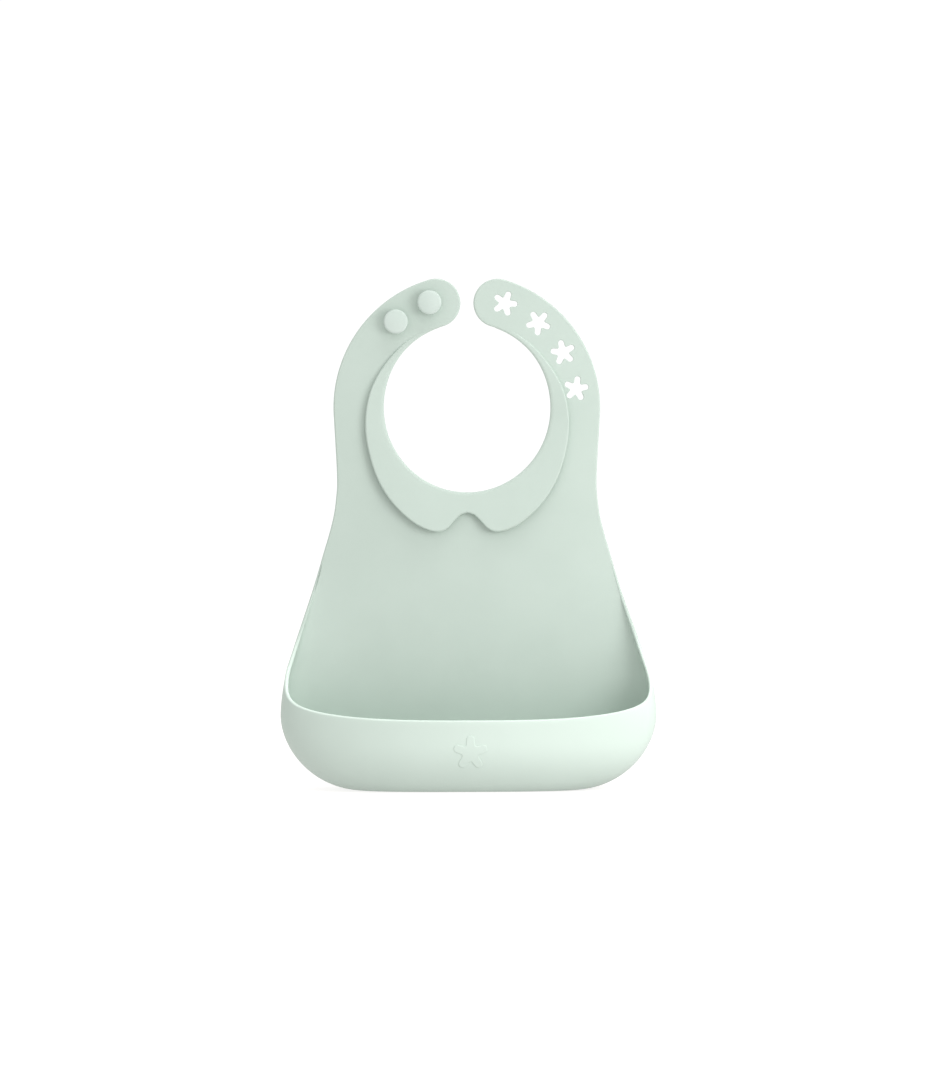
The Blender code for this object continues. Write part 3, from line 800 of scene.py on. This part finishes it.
def stud_profile(node):
    """Stem with a soft root, undercut, round-edged head and a barely domed top."""
    low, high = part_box(node)
    head = (high[0] - low[0]) / 2
    top = FRONT_Y - low[1]
    stem = STUD_STEM
    under = STUD_UNDER
    profile = [(0.0, -STUD_SUNK), (stem + 0.0010, -STUD_SUNK), (stem + 0.0008, 0.0001),
               (stem + 0.0003, 0.0005), (stem, 0.0011), (stem, under - 0.0006),
               (stem + 0.0002, under - 0.0002), (stem + 0.0006, under), (head - 0.0012, under)]
    for step in range(7):
        angle = math.radians(-90.0 + 15.0 * step)
        profile.append((head - STUD_LIP + STUD_LIP * math.cos(angle),
                        under + STUD_LIP + STUD_LIP * math.sin(angle)))
    flat = head - STUD_SHOULDER
    for step in range(1, 8):
        angle = math.radians(12.0 * step)
        profile.append((flat + STUD_SHOULDER * math.cos(angle),
                        top - STUD_CROWN - STUD_SHOULDER + STUD_SHOULDER * math.sin(angle)))
    for share in (0.85, 0.65, 0.4, 0.2):
        profile.append((flat * share, top - STUD_CROWN * share * share))
    profile.append((0.0, top))
    return profile


def make_studs():
    for node, azimuth in STUD_AZIMUTHS.items():
        bm = turned(stud_profile(node))
        bmesh.ops.translate(bm, verts=bm.verts[:], vec=on_ring(FASTENER_RADIUS, azimuth, FRONT_Y))
        stud = to_object(node + "_skin", bm, FROSTED)
        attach(stud, "button_tip")
        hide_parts(node)


def front_face_y(x, z):
    """y of the outer face of the pocket's front at a place on it."""
    side_y = pocket_back(z) - side_depth(z)
    share = min(abs(x) / half_width(z), 1.0) ** POCKET_SQUARENESS
    return side_y - (side_y - pocket_front(z)) * (1.0 - share) ** (1.0 / POCKET_SQUARENESS)


def make_relief():
    """Faint raised star, the shape of the fastening holes, in the middle of the pocket's front."""
    outline = star_outline((0.0, RELIEF_Z), 90.0, scale=RELIEF_SCALE)
    star = rounded_plate([(outline, RELIEF_EDGE, RELIEF_INSET)], 0.0, RELIEF_THICKNESS)
    for step in range(-5, 6):
        slice_at(star, (0.0, 0.0, RELIEF_Z + RELIEF_SLICE * step), (0.0, 0.0, 1.0))
    for vert in star.verts:
        vert.co.y += front_face_y(vert.co.x, vert.co.z) - RELIEF_HEIGHT
    # painted light: the relief is lightened like the pocket's front, more towards +X
    star.verts.layers.float.new("painted_light_mask")
    paint_light_on_front(star)
    relief = to_object("pocket_star_relief", star, MINT_POCKET)
    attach(relief, "pocket")


# --- studio ---------------------------------------------------------------------------------
def glowing_white():
    """White acrylic that glows where it is seen, so that only the nearest shadows show on it."""
    material = bpy.data.materials.new("studio_floor")
    material.use_nodes = True
    tree = material.node_tree
    shader = tree.nodes["Principled BSDF"]
    shader.inputs["Base Color"].default_value = (0.42, 0.40, 0.40, 1.0)
    shader.inputs["Roughness"].default_value = 0.9
    shader.inputs["Specular IOR Level"].default_value = 0.0
    shader.inputs["Emission Color"].default_value = (1.0, 0.985, 0.985, 1.0)
    ray = tree.nodes.new("ShaderNodeLightPath")
    glow = tree.nodes.new("ShaderNodeMapRange")
    glow.inputs["To Min"].default_value = FLOOR_BOUNCE
    glow.inputs["To Max"].default_value = FLOOR_GLOW
    tree.links.new(ray.outputs["Is Camera Ray"], glow.inputs["Value"])
    tree.links.new(glow.outputs["Result"], shader.inputs["Emission Strength"])
    return material


def make_floor():
    bm = bmesh.new()
    bmesh.ops.create_grid(bm, x_segments=2, y_segments=2, size=FLOOR_SIZE)
    mesh = bpy.data.meshes.new("studio_floor")
    bm.to_mesh(mesh)
    bm.free()
    mesh.materials.append(glowing_white())
    floor = bpy.data.objects.new("studio_floor", mesh)
    floor.location.z = FLOOR_Z
    bpy.context.collection.objects.link(floor)


def softbox(name, place, size, power):
    light = bpy.data.lights.new(name, "AREA")
    light.shape = "DISK"
    light.size = size
    light.energy = power
    obj = bpy.data.objects.new(name, light)
    obj.location = place
    aim = Vector(SOFTBOX_TARGET) - Vector(place)
    obj.rotation_euler = aim.to_track_quat("-Z", "Y").to_euler()
    obj.visible_camera = False
    bpy.context.collection.objects.link(obj)


def make_world():
    """Studio surround: pure white where it is seen, and softer where it lights the piece."""
    world = bpy.data.worlds.new("studio")
    bpy.context.scene.world = world
    world.use_nodes = True
    tree = world.node_tree
    output = tree.nodes["World Output"]
    surround = tree.nodes["Background"]
    surround.inputs["Color"].default_value = (1.0, 1.0, 1.0, 1.0)
    surround.inputs["Strength"].default_value = SURROUND_LIGHT
    backdrop = tree.nodes.new("ShaderNodeBackground")
    backdrop.inputs["Color"].default_value = (1.0, 1.0, 1.0, 1.0)
    backdrop.inputs["Strength"].default_value = BACKDROP_WHITE
    ray = tree.nodes.new("ShaderNodeLightPath")
    choose = tree.nodes.new("ShaderNodeMixShader")
    tree.links.new(ray.outputs["Is Camera Ray"], choose.inputs["Fac"])
    tree.links.new(surround.outputs["Background"], choose.inputs[1])
    tree.links.new(backdrop.outputs["Background"], choose.inputs[2])
    tree.links.new(choose.outputs["Shader"], output.inputs["Surface"])


def make_camera():
    """Level camera, a metre and a half from the sheet and a little to its left."""
    turn = math.radians(CAMERA_TURN)
    camera = bpy.data.objects.new("camera", bpy.data.cameras.new("camera"))
    back = Vector((-math.sin(turn), -math.cos(turn), 0.0))
    camera.location = Vector(CAMERA_TARGET) + CAMERA_DISTANCE * back
    camera.rotation_euler = (math.radians(90.0), 0.0, -turn)
    camera.data.lens = CAMERA_LENS
    camera.data.sensor_width = 36.0
    bpy.context.collection.objects.link(camera)
    bpy.context.scene.camera = camera


def main():
    make_camera()
    make_floor()
    make_world()
    for name, place, size, power in SOFTBOXES:
        softbox(name, place, size, power)
    bpy.context.scene.view_settings.view_transform = "Standard"
    make_pocket()
    make_chest_panel()
    for side in ("button", "hole"):
        for part in ("root", "tip"):
            make_strap(side, part)
    make_collar()
    make_studs()
    make_relief()


main()
